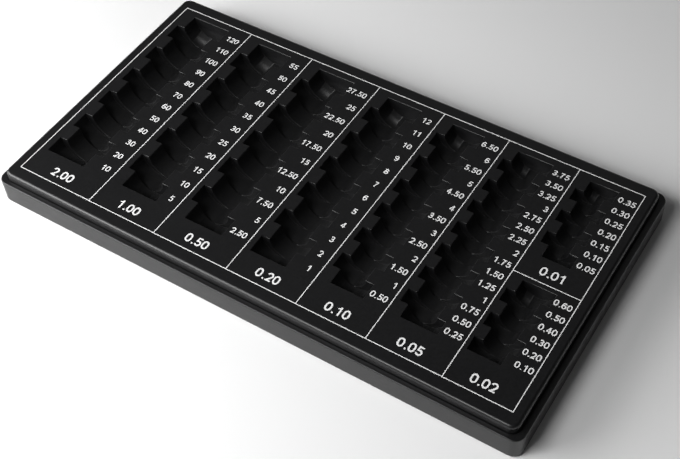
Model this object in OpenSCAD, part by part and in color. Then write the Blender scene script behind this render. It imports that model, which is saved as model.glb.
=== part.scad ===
// Manual coin counting tray: a moulded counting board with eight half-round coin
// channels, seated in a shallow tray-shaped base on four rubber feet.
// Millimetres, +Z up, +X along the row of channels, +Y from the front to the back.
// The origin is the middle of the surface that the feet stand on.

/* [Channel 2.00] */
// Diameter of the 2.00 coin
coin_200 = 25.75; // [22:0.05:28]
// Length of one pocket, which holds five coins on edge
pocket_200 = 11.25; // [8:0.05:14]
// Number of pockets
count_200 = 12; // [4:1:14]
// Flat land on the left of the channel
land_200 = 4.5; // [3:0.1:8]
// Field for the numbers on the right of the channel
field_200 = 14.35; // [8:0.05:20]

/* [Channel 1.00] */
// Diameter of the 1.00 coin
coin_100 = 23.25; // [20:0.05:26]
// Length of one pocket, which holds five coins on edge
pocket_100 = 12.25; // [8:0.05:14]
// Number of pockets
count_100 = 11; // [4:1:13]
// Flat land on the left of the channel
land_100 = 3.9; // [3:0.1:8]
// Field for the numbers on the right of the channel
field_100 = 12.75; // [8:0.05:20]

/* [Channel 0.50] */
// Diameter of the 0.50 coin
coin_050 = 24.25; // [21:0.05:27]
// Length of one pocket, which holds five coins on edge
pocket_050 = 12.35; // [8:0.05:14]
// Number of pockets
count_050 = 11; // [4:1:13]
// Flat land on the left of the channel
land_050 = 3.4; // [3:0.1:8]
// Field for the numbers on the right of the channel
field_050 = 15.15; // [8:0.05:20]

/* [Channel 0.20] */
// Diameter of the 0.20 coin
coin_020 = 22.25; // [19:0.05:25]
// Length of one pocket, which holds five coins on edge
pocket_020 = 11.35; // [8:0.05:14]
// Number of pockets
count_020 = 12; // [4:1:14]
// Flat land on the left of the channel
land_020 = 3.8; // [3:0.1:8]
// Field for the numbers on the right of the channel
field_020 = 12.85; // [8:0.05:20]

/* [Channel 0.10] */
// Diameter of the 0.10 coin
coin_010 = 19.75; // [17:0.05:22]
// Length of one pocket, which holds five coins on edge
pocket_010 = 10.2; // [7:0.05:13]
// Number of pockets
count_010 = 13; // [4:1:15]
// Flat land on the left of the channel
land_010 = 3.2; // [3:0.1:8]
// Field for the numbers on the right of the channel
field_010 = 13.8; // [8:0.05:20]

/* [Channel 0.05] */
// Diameter of the 0.05 coin
coin_005 = 21.25; // [19:0.05:24]
// Length of one pocket, which holds five coins on edge
pocket_005 = 8.85; // [7:0.05:12]
// Number of pockets
count_005 = 15; // [4:1:17]
// Flat land on the left of the channel
land_005 = 3.2; // [3:0.1:8]
// Field for the numbers on the right of the channel
field_005 = 14.2; // [8:0.05:20]

/* [Channel 0.02, front of the last column] */
// Diameter of the 0.02 coin
coin_002 = 18.75; // [17:0.05:21]
// Length of one pocket, which holds five coins on edge
pocket_002 = 8.75; // [7:0.05:11]
// Number of pockets
count_002 = 6; // [3:1:8]
// Flat land on the left of the channel
land_002 = 2.5; // [2.5:0.1:8]
// Field for the numbers on the right of the channel
field_002 = 12.35; // [8:0.05:20]

/* [Channel 0.01, back of the last column] */
// Diameter of the 0.01 coin
coin_001 = 16.25; // [14:0.05:18]
// Length of one pocket, which holds five coins on edge
pocket_001 = 8.75; // [7:0.05:11]
// Number of pockets
count_001 = 7; // [3:1:8]

/* [Channels] */
// Room between a coin's edge and its channel, on each side
coin_play = 0.3; // [0.1:0.05:0.6]
// Sideways step from one pocket to the next, which makes the stop between them
stagger = 5; // [3:0.1:6]
// Thickness of the channel walls
channel_wall = 1.6; // [1:0.1:2.4]

/* [Board] */
// Thickness of the top plate
plate_t = 2.2; // [1.6:0.1:3.2]
// Thickness of the skirt round the board
skirt_t = 2; // [1.4:0.1:3]
// Radius of the rounded top edge
edge_r = 2.1; // [0.8:0.1:2.4]
// Corner radius of the board, seen from above
corner_r = 5; // [4:0.5:12]
// Strip in front of the longest channel, for the big labels
label_strip = 17.1; // [12:0.1:24]
// Strip between the printed divider and the channel behind it, in the last column
inner_strip = 15.85; // [10:0.05:22]
// Land between the printed divider and the channel in front of it
divider_land = 3; // [2:0.1:6]
// Land between the channels and the back line of the print
back_land = 4.9; // [4:0.1:10]
// Margin from the printed field to the board's left and right edges
side_margin = 6.4; // [5:0.1:14]
// Margin from the printed field to the board's front and back edges
end_margin = 8.3; // [6:0.05:16]
// Thickness of the ribs under the board
rib_t = 1.2; // [0.8:0.1:2]
// Depth of the ribs under the board's plate
rib_depth = 5; // [2:0.5:7]
// Number of ribs across the board
board_ribs = 3; // [1:1:6]

/* [Base] */
// Height of the board above the base's rim
step_h = 5.7; // [3:0.1:7]
// Thickness of the base's wall at the front and back
end_wall_t = 2.85; // [2:0.05:4]
// Thickness of the base's wall on the left and right
side_wall_t = 3.55; // [2:0.05:5]
// Corner radius of the base, seen from above
base_corner_r = 6; // [5:0.5:9]
// Gap between the board's skirt and the base's wall
skirt_gap = 0.25; // [0.15:0.05:0.5]
// Thickness of the floor
floor_t = 2; // [1.5:0.1:3]
// Air between the deepest channel and the floor
under_gap = 4.05; // [3:0.05:8]
// Outward slope of the wall from the rim to its foot
draft = 0.2; // [0:0.05:1]
// Radius of the rim's outer edge
rim_r = 0.6; // [0.3:0.1:1]
// Radius of the wall's bottom edge
foot_edge_r = 0.8; // [0.3:0.1:1.4]
// Height of the ribs on the floor
floor_rib_h = 2; // [1:0.1:2.6]
// Thickness of the ribs and gussets in the base
base_rib_t = 1.4; // [1:0.1:2.4]
// Number of floor ribs along X
long_ribs = 2; // [1:1:4]
// Reach of a gusset from the base's wall, which carries the skirt
gusset_reach = 2.6; // [2:0.1:4]
// Gussets between two neighbouring pillars, front and back
end_gussets = 3; // [1:1:6]
// Gussets between the pillars on each side
side_gussets = 4; // [1:1:6]

/* [Screws] */
// Outside diameter of a screw's thread
screw_d = 2.9; // [2.2:0.1:3.5]
// Length of the thread in the board's boss
screw_grip = 7; // [5:0.5:9]
// Diameter of the screw head
head_d = 5.6; // [4.5:0.1:7]
// Height of the screw head
head_h = 2; // [1.2:0.1:2.8]
// Width of the cross slot in the head
slot_w = 0.8; // [0.5:0.1:1.2]
// Depth of the cross slot in the head
slot_depth = 1; // [0.5:0.1:1.2]
// Length of the screw's point
tip_l = 1.5; // [1:0.1:3]
// Free depth of the bore past the screw's point
bore_end = 1.5; // [0.5:0.1:2.5]
// Play round the screw and its head
screw_play = 0.2; // [0.1:0.05:0.4]
// Wall round a screw's bore, in the boss and in the pillar
boss_wall = 2; // [1.4:0.1:3]
// Thickness of the pillar's web, which the screw head clamps
web_t = 5; // [3:0.1:6]
// Distance from the board's edges to the screws
screw_inset = 6.4; // [6:0.1:9]

/* [Feet] */
// Diameter of a rubber foot
foot_d = 12; // [8:0.5:16]
// Height of the feet below the base
foot_proud = 0.8; // [0.5:0.1:3]
// Depth of the recess that holds a foot
foot_recess = 1.2; // [0.8:0.1:2]
// Radius of the foot's lower edge
foot_r = 0.5; // [0.2:0.1:0.8]
// Play round a foot in its recess
foot_play = 0.2; // [0.1:0.05:0.4]
// Distance from the base's edges to the middle of a foot
foot_inset = 22; // [18:0.5:40]

/* [Hidden] */

$fn = 96;
cut = 1; // overshoot of a cutting shape past the surface that it opens

// One row per full column, and the names of its entries
COIN = 0;
POCKET = 1;
COUNT = 2;
LAND = 3;
FIELD = 4;
COLUMNS = [
    [coin_200, pocket_200, count_200, land_200, field_200],
    [coin_100, pocket_100, count_100, land_100, field_100],
    [coin_050, pocket_050, count_050, land_050, field_050],
    [coin_020, pocket_020, count_020, land_020, field_020],
    [coin_010, pocket_010, count_010, land_010, field_010],
    [coin_005, pocket_005, count_005, land_005, field_005],
    [coin_002, pocket_002, count_002, land_002, field_002]
];
LAST = len(COLUMNS) - 1;
SMALLEST = [coin_001, pocket_001, count_001];

function channel_r(c) = c[COIN] / 2 + coin_play;
function channel_w(c) = 2 * channel_r(c) + stagger;
function channel_l(c) = c[POCKET] * c[COUNT];
function column_w(c) = c[LAND] + channel_w(c) + c[FIELD];
function column_x(i) = i == 0 ? -field_w / 2 : column_x(i - 1) + column_w(COLUMNS[i - 1]);
function total(v, i = 0) = i < len(v) ? v[i] + total(v, i + 1) : 0;

// The printed field: its columns side by side, and its longest column from front to back
field_w = total([for (c = COLUMNS) column_w(c)]);
last_column_l = channel_l(COLUMNS[LAST]) + divider_land + inner_strip + channel_l(SMALLEST);
field_l = label_strip + back_land + max(concat([for (c = COLUMNS) channel_l(c)], [last_column_l]));

// The channels: the middle and the back end of each
back_y = field_l / 2 - back_land;
inner_back_y = back_y - channel_l(SMALLEST) - inner_strip - divider_land;
function column_mid(i) = column_x(i) + COLUMNS[i][LAND] + channel_w(COLUMNS[i]) / 2;
CHANNELS = concat(
    [for (i = [0:LAST]) [COLUMNS[i], column_mid(i), i == LAST ? inner_back_y : back_y]],
    [[SMALLEST, column_mid(LAST), back_y]]
);

// Outlines seen from above
board_w = field_w + 2 * side_margin;
board_l = field_l + 2 * end_margin;
cavity_w = board_w + 2 * skirt_gap;
cavity_l = board_l + 2 * skirt_gap;
cavity_r = corner_r + skirt_gap;
base_w = cavity_w + 2 * side_wall_t;
base_l = cavity_l + 2 * end_wall_t;

// Heights above the surface that the feet stand on
deepest = max([for (c = COLUMNS) channel_r(c)]);
z_base = foot_proud;
z_floor = z_base + floor_t;
z_top = z_floor + under_gap + channel_wall + deepest;
z_plate = z_top - plate_t;
z_rim = z_top - step_h;
z_seat = z_plate - screw_grip - bore_end;

// Screws and what holds them
boss_d = screw_d + 2 * boss_wall;
pillar_d = head_d + 2 * (screw_play + boss_wall);
screw_x = board_w / 2 - screw_inset;
screw_y = board_l / 2 - screw_inset;
z_head = z_seat - web_t;

// Round solids and hollows of the feet
pad_d = foot_d + 2 * (foot_play + boss_wall);

// Sweeps a section round a w by l rectangle whose corners have the radius r.
// The section's x runs from the corner's centre, 0, out to r. Its y is the height.
module sweep_round(w, l, r) {
    for (k = [0:3]) {
        reach = k % 2 == 0 ? w : l;
        run = k % 2 == 0 ? l : w;
        rotate([0, 0, 90 * k])
            translate([reach / 2 - r, run / 2 - r, 0]) {
                rotate([90, 0, 0])
                    linear_extrude(run - 2 * r)
                        children();
                rotate_extrude(angle = 90)
                    children();
            }
    }
}

// A block in the middle of the board or base, from one height to another
module middle_block(w, l, z0, z1) {
    translate([-w / 2, -l / 2, z0])
        cube([w, l, z1 - z0]);
}

// Places its children at the six screws
module at_screws() {
    for (x = [-screw_x, 0, screw_x], y = [-screw_y, screw_y])
        translate([x, y, 0])
            children();
}

// A round bar along Y through one pocket, longer by extra at each end.
// Pockets are counted from the back. The even ones lie to the right.
module pocket_bar(channel, k, r, extra) {
    c = channel[0];
    side = k % 2 == 0 ? 1 : -1;
    translate([channel[1] + side * stagger / 2, channel[2] - k * c[POCKET] + extra, z_top])
        rotate([90, 0, 0])
            cylinder(r = r, h = c[POCKET] + 2 * extra);
}

module channels_hollow() {
    for (channel = CHANNELS, k = [0:channel[0][COUNT] - 1])
        pocket_bar(channel, k, channel_r(channel[0]), 0);
}

// The channels' outer skin, which follows each pocket at the wall's thickness
module channels_skin() {
    intersection() {
        for (channel = CHANNELS, k = [0:channel[0][COUNT] - 1])
            pocket_bar(channel, k, channel_r(channel[0]) + channel_wall, channel_wall);
        middle_block(board_w, board_l, z_base, z_top);
    }
}

// The board's edge in section: plate, rounded top edge and skirt
module board_section() {
    difference() {
        union() {
            translate([0, z_plate])
                square([corner_r, plate_t]);
            translate([corner_r - skirt_t, z_seat])
                square([skirt_t, z_top - z_seat]);
        }
        translate([corner_r - edge_r, z_top - edge_r])
            difference() {
                square(2 * edge_r);
                circle(edge_r);
            }
    }
}

module board_shell() {
    sweep_round(board_w, board_l, corner_r)
        board_section();
    middle_block(board_w - 2 * corner_r, board_l - 2 * corner_r, z_plate, z_top);
}

// Ribs across the underside, from skirt to skirt
module board_cross_ribs() {
    for (k = [1:board_ribs])
        translate([0, -board_l / 2 + k * board_l / (board_ribs + 1), 0])
            middle_block(board_w - skirt_t, rib_t, z_plate - rib_depth, z_plate);
}

module counting_board() {
    color("#1c1c1e")
        difference() {
            union() {
                board_shell();
                channels_skin();
                board_cross_ribs();
                at_screws()
                    translate([0, 0, z_seat])
                        cylinder(d = boss_d, h = z_plate - z_seat);
            }
            channels_hollow();
            at_screws()
                translate([0, 0, z_seat - cut])
                    cylinder(d = screw_d + screw_play, h = screw_grip + bore_end + cut);
        }
}

// The base's edge in section, before it is hollowed: a sloping side with rounded edges
module base_section() {
    toe = base_corner_r + draft;
    union() {
        polygon([
            [0, z_base + foot_edge_r], [toe, z_base + foot_edge_r],
            [base_corner_r, z_rim - rim_r], [0, z_rim - rim_r]
        ]);
        translate([0, z_base])
            square([toe - foot_edge_r, foot_edge_r]);
        translate([0, z_rim - rim_r])
            square([base_corner_r - rim_r, rim_r]);
        translate([toe - foot_edge_r, z_base + foot_edge_r])
            circle(foot_edge_r);
        translate([base_corner_r - rim_r, z_rim - rim_r])
            circle(rim_r);
    }
}

// The hollow that the board's skirt stands in, from the floor up
module base_cavity() {
    height = z_rim - z_floor + cut;
    sweep_round(cavity_w, cavity_l, cavity_r)
        translate([0, z_floor])
            square([cavity_r, height]);
    middle_block(cavity_w - 2 * cavity_r, cavity_l - 2 * cavity_r, z_floor, z_rim + cut);
}

module base_shell() {
    difference() {
        union() {
            sweep_round(base_w, base_l, base_corner_r)
                base_section();
            middle_block(base_w - 2 * base_corner_r, base_l - 2 * base_corner_r, z_base, z_rim);
        }
        base_cavity();
    }
}

// Gussets inside the wall, spread evenly between the pillars, level with the skirt's foot
module gussets() {
    end_pitch = screw_x / (end_gussets + 1);
    side_pitch = 2 * screw_y / (side_gussets + 1);
    for (side = [-1, 1]) {
        for (half = [-1, 1], k = [1:end_gussets])
            translate([half * k * end_pitch, side * (cavity_l - gusset_reach) / 2, 0])
                middle_block(base_rib_t, gusset_reach, z_base + floor_t / 2, z_seat);
        for (k = [1:side_gussets])
            translate([side * (cavity_w - gusset_reach) / 2, -screw_y + k * side_pitch, 0])
                middle_block(gusset_reach, base_rib_t, z_base + floor_t / 2, z_seat);
    }
}

// Low ribs that stiffen the floor: one across at each row of screws, others lengthwise
module floor_ribs() {
    z_rib = z_floor + floor_rib_h;
    for (x = [-screw_x, 0, screw_x])
        translate([x, 0, 0])
            middle_block(base_rib_t, 2 * screw_y, z_base + floor_t / 2, z_rib);
    for (k = [1:long_ribs])
        translate([0, -screw_y + k * 2 * screw_y / (long_ribs + 1), 0])
            middle_block(2 * screw_x, base_rib_t, z_base + floor_t / 2, z_rib);
}

module base() {
    color("#202022")
        difference() {
            union() {
                base_shell();
                gussets();
                floor_ribs();
                at_screws()
                    translate([0, 0, z_base])
                        cylinder(d = pillar_d, h = z_seat - z_base);
                at_feet()
                    translate([0, 0, z_base])
                        cylinder(d = pad_d, h = floor_t + foot_recess);
            }
            at_screws() {
                translate([0, 0, z_base - cut])
                    cylinder(d = head_d + 2 * screw_play, h = z_head - z_base + cut);
                translate([0, 0, z_base])
                    cylinder(d = screw_d + 2 * screw_play, h = z_seat - z_base + cut);
            }
            at_feet()
                translate([0, 0, z_base - cut])
                    cylinder(d = foot_d + 2 * foot_play, h = foot_recess + cut);
        }
}

module at_foot(side_x, side_y) {
    translate([side_x * (base_w / 2 - foot_inset), side_y * (base_l / 2 - foot_inset), 0])
        children();
}

module at_feet() {
    for (side_x = [-1, 1], side_y = [-1, 1])
        at_foot(side_x, side_y)
            children();
}

// A round rubber pad with a rounded lower edge
module foot() {
    color("#3a3a3c")
        rotate_extrude()
            union() {
                translate([0, foot_r])
                    square([foot_d / 2, foot_proud + foot_recess - foot_r]);
                square([foot_d / 2 - foot_r, foot_r]);
                intersection() {
                    translate([foot_d / 2 - foot_r, foot_r])
                        circle(foot_r);
                    square([foot_d / 2, 2 * foot_r]);
                }
            }
}

module foot_front_left() {
    at_foot(-1, -1)
        foot();
}

module foot_front_right() {
    at_foot(1, -1)
        foot();
}

module foot_back_left() {
    at_foot(-1, 1)
        foot();
}

module foot_back_right() {
    at_foot(1, 1)
        foot();
}

// A pan-head screw, its head against the pillar's web and its point up in the boss
module case_screw() {
    shank_l = web_t + screw_grip - tip_l;
    translate([0, 0, z_head])
        union() {
            difference() {
                translate([0, 0, -head_h])
                    cylinder(d1 = head_d - head_h, d2 = head_d, h = head_h);
                for (turn = [0, 90])
                    rotate([0, 0, turn])
                        translate([-head_d / 4, -slot_w / 2, -head_h - cut])
                            cube([head_d / 2, slot_w, slot_depth + cut]);
            }
            cylinder(d = screw_d, h = shank_l);
            translate([0, 0, shank_l])
                cylinder(d1 = screw_d, d2 = screw_d / 4, h = tip_l);
        }
}

module case_screws() {
    color("silver")
        at_screws()
            case_screw();
}

counting_board();
base();
foot_front_left();
foot_front_right();
foot_back_left();
foot_back_right();
case_screws();
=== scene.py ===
"""Looks of the manual coin counting tray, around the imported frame.

Metres, in the frame of the part: +X along the row of channels, +Y to the back, +Z up,
origin in the middle of the surface that the feet stand on.
"""

import math

import bmesh
import bpy
from mathutils import Matrix, Vector
from mathutils.geometry import delaunay_2d_cdt


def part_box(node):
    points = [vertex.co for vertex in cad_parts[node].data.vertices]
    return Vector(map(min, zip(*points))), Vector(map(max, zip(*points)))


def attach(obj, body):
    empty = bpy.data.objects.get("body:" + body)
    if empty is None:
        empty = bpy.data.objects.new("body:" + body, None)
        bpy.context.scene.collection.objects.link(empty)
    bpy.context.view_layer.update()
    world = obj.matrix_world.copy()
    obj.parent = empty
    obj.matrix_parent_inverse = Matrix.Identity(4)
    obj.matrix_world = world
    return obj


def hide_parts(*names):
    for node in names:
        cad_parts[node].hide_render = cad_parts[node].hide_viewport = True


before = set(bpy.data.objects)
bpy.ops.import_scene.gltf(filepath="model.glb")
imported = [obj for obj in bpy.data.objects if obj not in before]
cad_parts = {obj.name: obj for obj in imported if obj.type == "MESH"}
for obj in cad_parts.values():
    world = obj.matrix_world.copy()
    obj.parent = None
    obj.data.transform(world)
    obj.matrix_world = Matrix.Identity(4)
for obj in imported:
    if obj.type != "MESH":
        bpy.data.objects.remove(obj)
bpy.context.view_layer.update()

MM = 0.001

# ---------------------------------------------------------------- sizes of the print

# One row per column: coin diameter, pocket length, pockets, land on the left, number field on the
# right, label, value of one pocket, and the gap from the numbers to the divider (None: centred).
COLUMNS = [
    (25.75, 11.25, 12, 4.5, 14.35, "2.00", 10.0, None),
    (23.25, 12.25, 11, 3.9, 12.75, "1.00", 5.0, None),
    (24.25, 12.35, 11, 3.4, 15.15, "0.50", 2.5, 3.0),
    (22.25, 11.35, 12, 3.8, 12.85, "0.20", 1.0, None),
    (19.75, 10.2, 13, 3.2, 13.8, "0.10", 0.5, 2.4),
    (21.25, 8.85, 15, 3.2, 14.2, "0.05", 0.25, 2.2),
    (18.75, 8.75, 6, 2.5, 12.35, "0.02", 0.1, 1.7),
]
# The channel behind the last column's: pocket length, pockets, label, value, gap to the border
LAST_BACK = (8.75, 7, "0.01", 0.05, 1.7)

COIN_PLAY = 0.3  # room between a coin's edge and its channel
STAGGER = 5.0  # sideways step from one pocket to the next
LABEL_STRIP = 17.1  # from the border's front line to the longest channel
INNER_STRIP = 15.85  # from the last column's divider to the channel behind it
DIVIDER_LAND = 3.0  # from that divider to the channel in front of it
BACK_LAND = 4.9  # from the channels' back ends to the border's back line
LINE_W = 0.48  # width of the printed lines
INK_T = 0.02  # thickness of the ink
LABEL_H = 5.8  # height of the big labels
LABEL_BASE = 4.4  # from the line in front of them to their foot
NUMBER_H = 4.0  # height of the running totals

# Shares of a figure's height
FIGURE_W = 0.66  # width of a figure
FIGURE_STROKE = 0.165  # width of its strokes
FIGURE_ADVANCE = 0.745  # from one figure to the next
POINT_ADVANCE = 0.375  # from a point to the figure after it


def column_width(row):
    coin, _, _, land, field, *_ = row
    return land + coin + 2 * COIN_PLAY + STAGGER + field


FIELD_W = sum(column_width(row) for row in COLUMNS)
FIELD_L = LABEL_STRIP + BACK_LAND + max(row[1] * row[2] for row in COLUMNS)
TOP_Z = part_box("counting_board")[1].z / MM


# ---------------------------------------------------------------- material helpers


def new_material(name):
    material = bpy.data.materials.new(name)
    material.use_nodes = True
    nodes = material.node_tree.nodes
    return material, nodes, material.node_tree.links, nodes["Principled BSDF"]


def noise(nodes, links, coordinates, scale, detail=2.0, roughness=0.5):
    texture = nodes.new("ShaderNodeTexNoise")
    texture.inputs["Scale"].default_value = scale
    texture.inputs["Detail"].default_value = detail
    texture.inputs["Roughness"].default_value = roughness
    links.new(coordinates.outputs["Object"], texture.inputs["Vector"])
    return texture


def remap(nodes, links, value, low, high, from_low=0.0, from_high=1.0):
    node = nodes.new("ShaderNodeMapRange")
    node.inputs["From Min"].default_value = from_low
    node.inputs["From Max"].default_value = from_high
    node.inputs["To Min"].default_value = low
    node.inputs["To Max"].default_value = high
    links.new(value, node.inputs["Value"])
    return node.outputs["Result"]


def mix_colour(nodes, links, factor, first, second):
    """A mix of two colours. The first one may be a socket."""
    node = nodes.new("ShaderNodeMix")
    node.data_type = "RGBA"
    if isinstance(first, bpy.types.NodeSocket):
        links.new(first, node.inputs["A"])
    else:
        node.inputs["A"].default_value = (*first, 1)
    node.inputs["B"].default_value = (*second, 1)
    links.new(factor, node.inputs["Factor"])
    return node.outputs["Result"]


def total(nodes, links, first, second):
    node = nodes.new("ShaderNodeMath")
    node.operation = "ADD"
    links.new(first, node.inputs[0])
    links.new(second, node.inputs[1])
    return node.outputs["Value"]


def edge_mask(nodes, links, radius):
    """1 on edges within the radius, 0 on flats: how far a bevelled normal leans from the true one."""
    full_lean, no_lean = 0.8, 0.99  # cosines of that lean
    bevel = nodes.new("ShaderNodeBevel")
    bevel.samples = 6
    bevel.inputs["Radius"].default_value = radius
    geometry = nodes.new("ShaderNodeNewGeometry")
    dot = nodes.new("ShaderNodeVectorMath")
    dot.operation = "DOT_PRODUCT"
    links.new(bevel.outputs["Normal"], dot.inputs[0])
    links.new(geometry.outputs["Normal"], dot.inputs[1])
    return remap(nodes, links, dot.outputs["Value"], 1.0, 0.0, full_lean, no_lean)


def bump(nodes, links, height, strength, distance, normal=None):
    node = nodes.new("ShaderNodeBump")
    node.inputs["Strength"].default_value = strength
    node.inputs["Distance"].default_value = distance
    links.new(height, node.inputs["Height"])
    if normal is not None:
        links.new(normal, node.inputs["Normal"])
    return node.outputs["Normal"]


def moulded_plastic(name, colour, worn_and_highlit_colour, matt_from=0.0, matt_to=0.0):
    """Black moulded plastic with a fine spark-eroded grain, polished a little on its edges, where its
    colour is lighter: partly rubbed wear, partly a painted highlight.

    Below the height matt_from its grain is coarser, so it is more matt, and most so below matt_to.
    """
    material, nodes, links, shader = new_material(name)
    coordinates = nodes.new("ShaderNodeTexCoord")
    grain = noise(nodes, links, coordinates, scale=2600, detail=3.0, roughness=0.6).outputs["Fac"]
    mottle = noise(nodes, links, coordinates, scale=900, detail=2.0, roughness=0.5).outputs["Fac"]
    patches = noise(nodes, links, coordinates, scale=28, detail=3.0, roughness=0.55).outputs["Fac"]
    wear_and_highlight = edge_mask(nodes, links, WEAR_AND_HIGHLIGHT_RADIUS)

    darker, lighter = [[share * c for c in colour] for share in (0.75, 1.25)]
    shade = remap(nodes, links, mottle, 0.0, 1.0, from_low=0.3, from_high=0.7)
    tint = mix_colour(nodes, links, shade, darker, lighter)
    # the lighter colour on the edges is partly rubbed wear, partly a painted highlight
    links.new(mix_colour(nodes, links, wear_and_highlight, tint, worn_and_highlit_colour), shader.inputs["Base Color"])

    matt = remap(nodes, links, patches, *PLASTIC_ROUGHNESS, from_low=0.3, from_high=0.7)
    rough = total(nodes, links, matt, remap(nodes, links, wear_and_highlight, 0.0, EDGE_POLISH))
    if matt_from > matt_to:
        height = nodes.new("ShaderNodeSeparateXYZ")
        links.new(coordinates.outputs["Object"], height.inputs["Vector"])
        coarser = remap(nodes, links, height.outputs["Z"], MATTER, 0.0, matt_to, matt_from)
        rough = total(nodes, links, rough, coarser)
    links.new(rough, shader.inputs["Roughness"])

    fine = bump(nodes, links, grain, strength=0.35, distance=0.02 * MM)
    coarse = bump(nodes, links, mottle, strength=0.25, distance=0.03 * MM, normal=fine)
    links.new(coarse, shader.inputs["Normal"])
    return material


def white_ink():
    """Screen-printed white, a little thin in places."""
    material, nodes, links, shader = new_material("white_ink")
    coordinates = nodes.new("ShaderNodeTexCoord")
    thin = noise(nodes, links, coordinates, scale=1500, detail=3.0, roughness=0.6).outputs["Fac"]
    amount = remap(nodes, links, thin, 0.0, 1.0, from_low=0.62, from_high=0.8)
    white = mix_colour(nodes, links, amount, (0.93, 0.93, 0.93), (0.72, 0.72, 0.72))
    links.new(white, shader.inputs["Base Color"])
    links.new(remap(nodes, links, thin, low=0.4, high=0.6), shader.inputs["Roughness"])
    links.new(bump(nodes, links, thin, strength=0.2, distance=0.01 * MM), shader.inputs["Normal"])
    return material


def foot_rubber():
    """Dull black rubber with fine pores and a little dust."""
    material, nodes, links, shader = new_material("foot_rubber")
    coordinates = nodes.new("ShaderNodeTexCoord")
    pores = noise(nodes, links, coordinates, scale=1800, detail=4.0, roughness=0.6).outputs["Fac"]
    dust = noise(nodes, links, coordinates, scale=160, detail=3.0, roughness=0.6).outputs["Fac"]
    amount = remap(nodes, links, dust, 0.0, 1.0, from_low=0.45, from_high=0.75)
    dusty = mix_colour(nodes, links, amount, (0.03, 0.03, 0.031), (0.07, 0.068, 0.065))
    links.new(dusty, shader.inputs["Base Color"])
    links.new(remap(nodes, links, pores, low=0.7, high=0.9), shader.inputs["Roughness"])
    links.new(bump(nodes, links, pores, strength=0.4, distance=0.03 * MM), shader.inputs["Normal"])
    return material


def plated_steel():
    """Zinc-plated steel with a fine uneven sheen."""
    material, nodes, links, shader = new_material("plated_steel")
    shader.inputs["Metallic"].default_value = 1.0
    coordinates = nodes.new("ShaderNodeTexCoord")
    grain = noise(nodes, links, coordinates, scale=900, detail=3.0, roughness=0.6).outputs["Fac"]
    zinc = mix_colour(nodes, links, grain, (0.5, 0.5, 0.52), (0.66, 0.66, 0.68))
    links.new(zinc, shader.inputs["Base Color"])
    links.new(remap(nodes, links, grain, low=0.25, high=0.42), shader.inputs["Roughness"])
    links.new(bump(nodes, links, grain, strength=0.15, distance=0.01 * MM), shader.inputs["Normal"])
    return material


# ---------------------------------------------------------------- mesh helpers

WELD = 1e-6  # points closer than this become one
FLAT_ANGLE = math.radians(0.5)  # neighbouring faces that lean less than this become one
SHARP_ANGLE = math.radians(40)  # outer edges over this get a radius
SMOOTH_ANGLE = math.radians(35)  # edges under this are shaded round
RADIUS_STEPS = 2  # flat faces in each radius


def add_object(name, bm, material):
    mesh = bpy.data.meshes.new(name)
    bm.to_mesh(mesh)
    bm.free()
    piece = bpy.data.objects.new(name, mesh)
    bpy.context.scene.collection.objects.link(piece)
    mesh.materials.append(material)
    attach(piece, "root")
    return piece


def softened(node, name, material, radius):
    """A copy of a moulded CAD piece whose sharp outer edges have a small radius, as a mould leaves them."""
    bm = bmesh.new()
    bm.from_mesh(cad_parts[node].data)
    bmesh.ops.remove_doubles(bm, verts=bm.verts, dist=WELD)
    bmesh.ops.dissolve_limit(bm, angle_limit=FLAT_ANGLE, verts=bm.verts, edges=bm.edges)
    sharp = [e for e in bm.edges if e.calc_face_angle_signed() > SHARP_ANGLE]
    bmesh.ops.bevel(
        bm, geom=sharp, offset=radius, offset_type="OFFSET", segments=RADIUS_STEPS, profile=0.5,
        affect="EDGES", clamp_overlap=False, miter_outer="SHARP",
    )
    for face in bm.faces:
        face.smooth = True
    piece = add_object(name, bm, material)
    smooth_by_angle(piece)
    weighted = piece.modifiers.new("flat_faces", "WEIGHTED_NORMAL")
    weighted.weight = 100
    weighted.keep_sharp = True
    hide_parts(node)
    return piece


def cover(node, material):
    """Give a material to a CAD piece that is shown as it is."""
    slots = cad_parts[node].data.materials
    slots.clear()
    slots.append(material)


def smooth_by_angle(piece):
    bpy.context.view_layer.objects.active = piece
    for other in bpy.context.selected_objects:
        other.select_set(False)
    piece.select_set(True)
    bpy.ops.object.shade_smooth_by_angle(angle=SMOOTH_ANGLE)


# ---------------------------------------------------------------- print on the board

SAME_POINT = 1e-6  # in shares of a figure's height
OUTLINE_SLACK = 1e-5  # points closer than this are merged in an outline
MITRE_LIMIT = 0.5  # a stroke gets at most 1 / MITRE_LIMIT times as wide in its bends


def add_bar(bm, x0, y0, x1, y1):
    """A flat bar of ink on the board, from corner to corner, in millimetres."""
    size = Vector(((x1 - x0) * MM, (y1 - y0) * MM, INK_T * MM))
    middle = Vector(((x0 + x1) / 2 * MM, (y0 + y1) / 2 * MM, (TOP_Z + INK_T / 2) * MM))
    bmesh.ops.create_cube(bm, size=1.0, matrix=Matrix.Translation(middle) @ Matrix.Diagonal((*size, 1)))


def arc(cx, cy, rx, ry, start, end, steps=10):
    """Points of an elliptical arc, its angles in degrees."""
    turns = [math.radians(start + (end - start) * k / steps) for k in range(steps + 1)]
    return [(cx + rx * math.cos(a), cy + ry * math.sin(a)) for a in turns]


def curve(first, control, last, steps=8):
    """Points of a curve that leaves the first point and reaches the last one along the control point."""
    shares = [k / steps for k in range(steps + 1)]
    return [
        tuple((1 - t) ** 2 * a + 2 * t * (1 - t) * b + t * t * c for a, b, c in zip(first, control, last))
        for t in shares
    ]


def block(x0, y0, x1, y1):
    return [(x0, y0), (x1, y0), (x1, y1), (x0, y1)]


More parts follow.
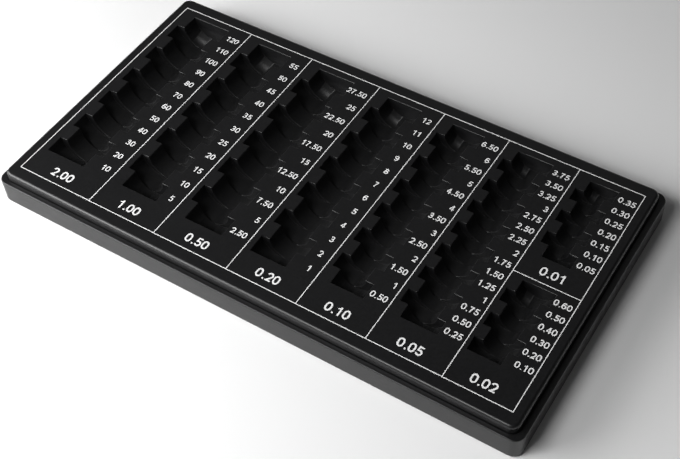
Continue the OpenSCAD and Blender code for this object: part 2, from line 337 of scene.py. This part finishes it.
def stroke(points, width=FIGURE_STROKE):
    """The quadrilaterals of a stroke of even width along a line of points.

    A closed line ends where it starts.
    """
    points = [Vector(p) for p in points]
    closed = (points[0] - points[-1]).length < SAME_POINT
    sides = []
    for k, p in enumerate(points):
        before = points[k - 1] if k else points[-2] if closed else None
        after = points[k + 1] if k + 1 < len(points) else points[1] if closed else None
        ways = [(p - before).normalized() if before else None, (after - p).normalized() if after else None]
        ways = [way for way in ways if way]
        way = sum(ways, Vector((0, 0))).normalized()
        reach = width / 2 / max(MITRE_LIMIT, way.dot(ways[0]))
        across = Vector((-way.y, way.x)) * reach
        sides.append((p - across, p + across))
    return [[tuple(a), tuple(c), tuple(d), tuple(b)] for (a, b), (c, d) in zip(sides, sides[1:])]


def figure_parts():
    """The strokes of each figure in a box of height 1 and width FIGURE_W, feet at 0."""
    six = stroke(arc(0.335, 0.325, 0.245, 0.2425, 0, 360, 20)) + stroke(
        arc(0.345, 0.43, 0.255, 0.4875, 190, 90, 10) + arc(0.345, 0.7, 0.215, 0.2175, 90, 15, 6)[1:]
    )
    parts = {
        "0": stroke(
            arc(0.33, 0.62, 0.2475, 0.2975, 0, 180)
            + arc(0.33, 0.38, 0.2475, 0.2975, 180, 360)
            + [(0.5775, 0.62)]
        ),
        "1": [block(0.315, 0, 0.485, 1)]
        + stroke([(0.09, 0.745), (0.2, 0.765), (0.28, 0.82), (0.335, 0.9)], 0.12),
        "2": stroke(
            arc(0.335, 0.675, 0.2425, 0.2425, 170, -30, 12)
            + curve((0.545, 0.554), (0.49, 0.42), (0.19, 0.13))[1:]
        ) + [block(0.045, 0, 0.615, 0.155)],
        "3": stroke(arc(0.32, 0.7175, 0.215, 0.2, 160, -90, 14))
        + stroke(arc(0.32, 0.3, 0.2475, 0.2175, 90, -160, 14))
        + [block(0.21, 0.45, 0.325, 0.585)],
        "4": [
            block(0.37, 0, 0.53, 1),
            block(0.02, 0.205, 0.66, 0.35),
            [(0.02, 0.3), (0.185, 0.3), (0.185, 0.35), (0.4, 0.76), (0.4, 1), (0.36, 1), (0.02, 0.36)],
        ],
        "5": [block(0.125, 0.845, 0.6, 1), [(0.085, 0.47), (0.235, 0.49), (0.27, 1), (0.125, 1)]]
        + stroke(arc(0.325, 0.335, 0.2525, 0.2525, 132, -160, 14)),
        "6": six,
        "7": [block(0.04, 0.845, 0.62, 1)] + stroke(curve((0.54, 0.91), (0.31, 0.6), (0.25, 0))),
        "8": stroke(arc(0.33, 0.72, 0.2, 0.1975, 0, 360, 18))
        + stroke(arc(0.33, 0.2975, 0.2475, 0.215, 0, 360, 20)),
        "9": [[(FIGURE_W - x, 1 - y) for x, y in face] for face in six],
        ".": [block(0.1, 0, 0.275, 0.17)],
    }
    return {sign: merged(faces) for sign, faces in parts.items()}


def merged(faces):
    """One flat outline from overlapping polygons: its points, triangles and outer edges."""
    points = [Vector(p) for face in faces for p in face]
    starts = [sum(len(f) for f in faces[:k]) for k in range(len(faces))]
    rings = [list(range(start, start + len(face))) for start, face in zip(starts, faces)]
    points, _, triangles, _, _, sources = delaunay_2d_cdt(points, [], rings, 1, OUTLINE_SLACK)
    triangles = [tuple(t) for t, source in zip(triangles, sources) if source]
    sides = {(t[k - 1], t[k]) for t in triangles for k in range(3)}
    return points, triangles, [(a, b) for a, b in sides if (b, a) not in sides]


FIGURES = figure_parts()


def add_text(bm, words, x, y, height, align):
    """Upright figures of the given height: x is their middle or their right end, y their foot."""
    steps = [POINT_ADVANCE if sign == "." else FIGURE_ADVANCE for sign in words]
    width = (sum(steps) - FIGURE_ADVANCE + FIGURE_W) * height
    left = x - width if align == "RIGHT" else x - width / 2
    for sign, step in zip(words, steps):
        points, triangles, rim = FIGURES[sign]
        ends = [
            [bm.verts.new(((left + p.x * height) * MM, (y + p.y * height) * MM, z * MM)) for p in points]
            for z in (TOP_Z, TOP_Z + INK_T)
        ]
        foot, top = ends
        for a, b, c in triangles:
            bm.faces.new((top[a], top[b], top[c]))
            bm.faces.new((foot[c], foot[b], foot[a]))
        for a, b in rim:
            bm.faces.new((foot[a], foot[b], top[b], top[a]))
        left += step * height


def figure(value):
    """A running total as the tray prints it: whole where it can be, else two places."""
    return f"{value:.0f}" if value == int(value) else f"{value:.2f}"


def add_scale(bm, back_y, pocket, count, value, left, right, gap):
    """The totals beside one channel, one on the middle of each pocket."""
    for k in range(count):
        y = back_y - (k + 0.5) * pocket - NUMBER_H / 2
        words = figure(round(value * (count - k), 2))
        if gap is None:
            add_text(bm, words, (left + right) / 2, y, NUMBER_H, "CENTER")
        else:
            add_text(bm, words, right - gap, y, NUMBER_H, "RIGHT")


def printed_board():
    lines = bmesh.new()
    figures = bmesh.new()
    half = LINE_W / 2
    x_min, x_max = -FIELD_W / 2, FIELD_W / 2
    y_min, y_max = -FIELD_L / 2, FIELD_L / 2
    back_y = y_max - BACK_LAND
    for y in (y_min, y_max):
        add_bar(lines, x_min - half, y - half, x_max + half, y + half)
    for x in (x_min, x_max):
        add_bar(lines, x - half, y_min + half, x + half, y_max - half)
    x = x_min
    for row in COLUMNS:
        _, pocket, count, _, field, label, value, gap = row
        right = x + column_width(row)
        last = row is COLUMNS[-1]
        if not last:
            add_bar(lines, right - half, y_min + half, right + half, y_max - half)
            add_scale(figures, back_y, pocket, count, value, right - field, right, gap)
        middle = (x + right) / 2
        add_text(figures, label, middle, y_min + LABEL_BASE, LABEL_H, "CENTER")
        if last:
            back_pocket, back_count, back_label, back_value, back_gap = LAST_BACK
            divider = back_y - back_pocket * back_count - INNER_STRIP
            add_bar(lines, x + half, divider - half, right - half, divider + half)
            add_scale(figures, back_y, back_pocket, back_count, back_value, right - field, right, back_gap)
            add_scale(figures, divider - DIVIDER_LAND, pocket, count, value, right - field, right, gap)
            add_text(figures, back_label, middle, divider + LABEL_BASE, LABEL_H, "CENTER")
        x = right
    ink = white_ink()
    for name, bm in (("printed_lines", lines), ("printed_figures", figures)):
        add_object(name, bm, ink)


# ---------------------------------------------------------------- pieces

BLACK = (0.0075, 0.0075, 0.008)  # colour of both mouldings
WORN_AND_HIGHLIGHT = (0.036, 0.036, 0.037)  # and of their edges: partly rubbed wear, partly a painted highlight along the edges
WEAR_AND_HIGHLIGHT_RADIUS = 0.35 * MM  # how far from an edge the rubbed wear and painted highlight reach
EDGE_POLISH = -0.04  # what it adds to the roughness
PLASTIC_ROUGHNESS = (0.29, 0.36)  # the smoothest and the most matt patches
MATTER = 0.2  # what the coarser grain in the channels adds to the roughness
CHANNEL_GRAIN_FROM = 16 * MM  # height below which that grain starts
CHANNEL_GRAIN_FULL = 14 * MM  # and below which it is full
BOARD_RADIUS = 0.35 * MM  # radius of the board's sharp outer edges
BASE_RADIUS = 0.3 * MM  # and of the base's

board_plastic = moulded_plastic("board_plastic", BLACK, WORN_AND_HIGHLIGHT, CHANNEL_GRAIN_FROM, CHANNEL_GRAIN_FULL)
base_plastic = moulded_plastic("base_plastic", BLACK, WORN_AND_HIGHLIGHT)
rubber = foot_rubber()
steel = plated_steel()

softened("counting_board", "board", board_plastic, BOARD_RADIUS)
softened("base", "base_tray", base_plastic, BASE_RADIUS)
printed_board()

for foot in ("foot_front_left", "foot_front_right", "foot_back_left", "foot_back_right"):
    cover(foot, rubber)
cover("case_screws", steel)


# ---------------------------------------------------------------- stage, light and camera

ROOM = 0.034  # brightness of the room above the tray
HORIZON = 0.9  # brightness of its pale walls, low round the floor
WALLS_TO = 0.07  # height of those walls, as the sine of the angle above the floor
ROOM_FROM = 0.18  # and where they have faded into the room above
FLOOR_COLOUR = (0.95, 0.95, 0.95)  # white paper
FLOOR_HALF = 4.0  # half the floor's side

CAMERA_PLACE = (0.26262, -0.36089, 0.52542)
CAMERA_AZIMUTH = 33.529  # degrees to the right of the front
CAMERA_ELEVATION = 51.145  # degrees that it looks down
CAMERA_ROLL = -2.417  # degrees about its own line of sight
CAMERA_SENSOR = 36  # its width in millimetres
CAMERA_LENS = 63.52
CAMERA_SHIFT = (-0.0358, 0.0086)  # of the picture's middle, in shares of its width


def studio_floor():
    bm = bmesh.new()
    bmesh.ops.create_grid(bm, x_segments=1, y_segments=1, size=FLOOR_HALF)
    mesh = bpy.data.meshes.new("floor")
    bm.to_mesh(mesh)
    bm.free()
    floor = bpy.data.objects.new("floor", mesh)
    bpy.context.scene.collection.objects.link(floor)
    material, _, _, shader = new_material("floor_paper")
    shader.inputs["Roughness"].default_value = 1.0
    shader.inputs["Specular IOR Level"].default_value = 0.0
    shader.inputs["Base Color"].default_value = (*FLOOR_COLOUR, 1)
    mesh.materials.append(material)


def studio_world():
    world = bpy.data.worlds.new("room")
    bpy.context.scene.world = world
    world.use_nodes = True
    nodes, links = world.node_tree.nodes, world.node_tree.links
    background = nodes["Background"]
    way = nodes.new("ShaderNodeTexCoord")
    height = nodes.new("ShaderNodeSeparateXYZ")
    links.new(way.outputs["Generated"], height.inputs["Vector"])
    level = remap(nodes, links, height.outputs["Z"], HORIZON, ROOM, WALLS_TO, ROOM_FROM)
    links.new(level, background.inputs["Strength"])
    background.inputs["Color"].default_value = (1, 1, 1, 1)


def softbox(name, azimuth, elevation, distance, width, height, power):
    """An area light that looks at the tray from a compass direction: 0 is the front, 90 the right."""
    lamp = bpy.data.lights.new(name, "AREA")
    lamp.shape = "RECTANGLE"
    lamp.size = width
    lamp.size_y = height
    lamp.energy = power
    holder = bpy.data.objects.new(name, lamp)
    bpy.context.scene.collection.objects.link(holder)
    a, e = math.radians(azimuth), math.radians(elevation)
    place = Vector((math.sin(a) * math.cos(e), -math.cos(a) * math.cos(e), math.sin(e))) * distance
    holder.location = place
    holder.rotation_euler = place.to_track_quat("Z", "Y").to_euler()


def studio_lights():
    softbox("window_left", -54, 26, distance=0.85, width=0.80, height=0.36, power=9.2)
    softbox("key_front", -16, 50, distance=0.85, width=0.42, height=0.22, power=3.4)
    softbox("wall_behind", -146, 46, distance=1.6, width=1.6, height=0.9, power=0.42)


def photo_camera():
    camera = bpy.data.cameras.new("camera")
    holder = bpy.data.objects.new("camera", camera)
    bpy.context.scene.collection.objects.link(holder)
    camera.sensor_width = CAMERA_SENSOR
    camera.lens = CAMERA_LENS
    camera.shift_x, camera.shift_y = CAMERA_SHIFT
    azimuth, elevation = math.radians(CAMERA_AZIMUTH), math.radians(CAMERA_ELEVATION)
    holder.matrix_world = (
        Matrix.Translation(CAMERA_PLACE)
        @ Matrix.Rotation(azimuth, 4, "Z")
        @ Matrix.Rotation(math.pi / 2 - elevation, 4, "X")
        @ Matrix.Rotation(math.radians(CAMERA_ROLL), 4, "Z")
    )
    bpy.context.scene.camera = holder


studio_floor()
studio_world()
studio_lights()
photo_camera()
bpy.context.scene.view_settings.view_transform = "Standard"
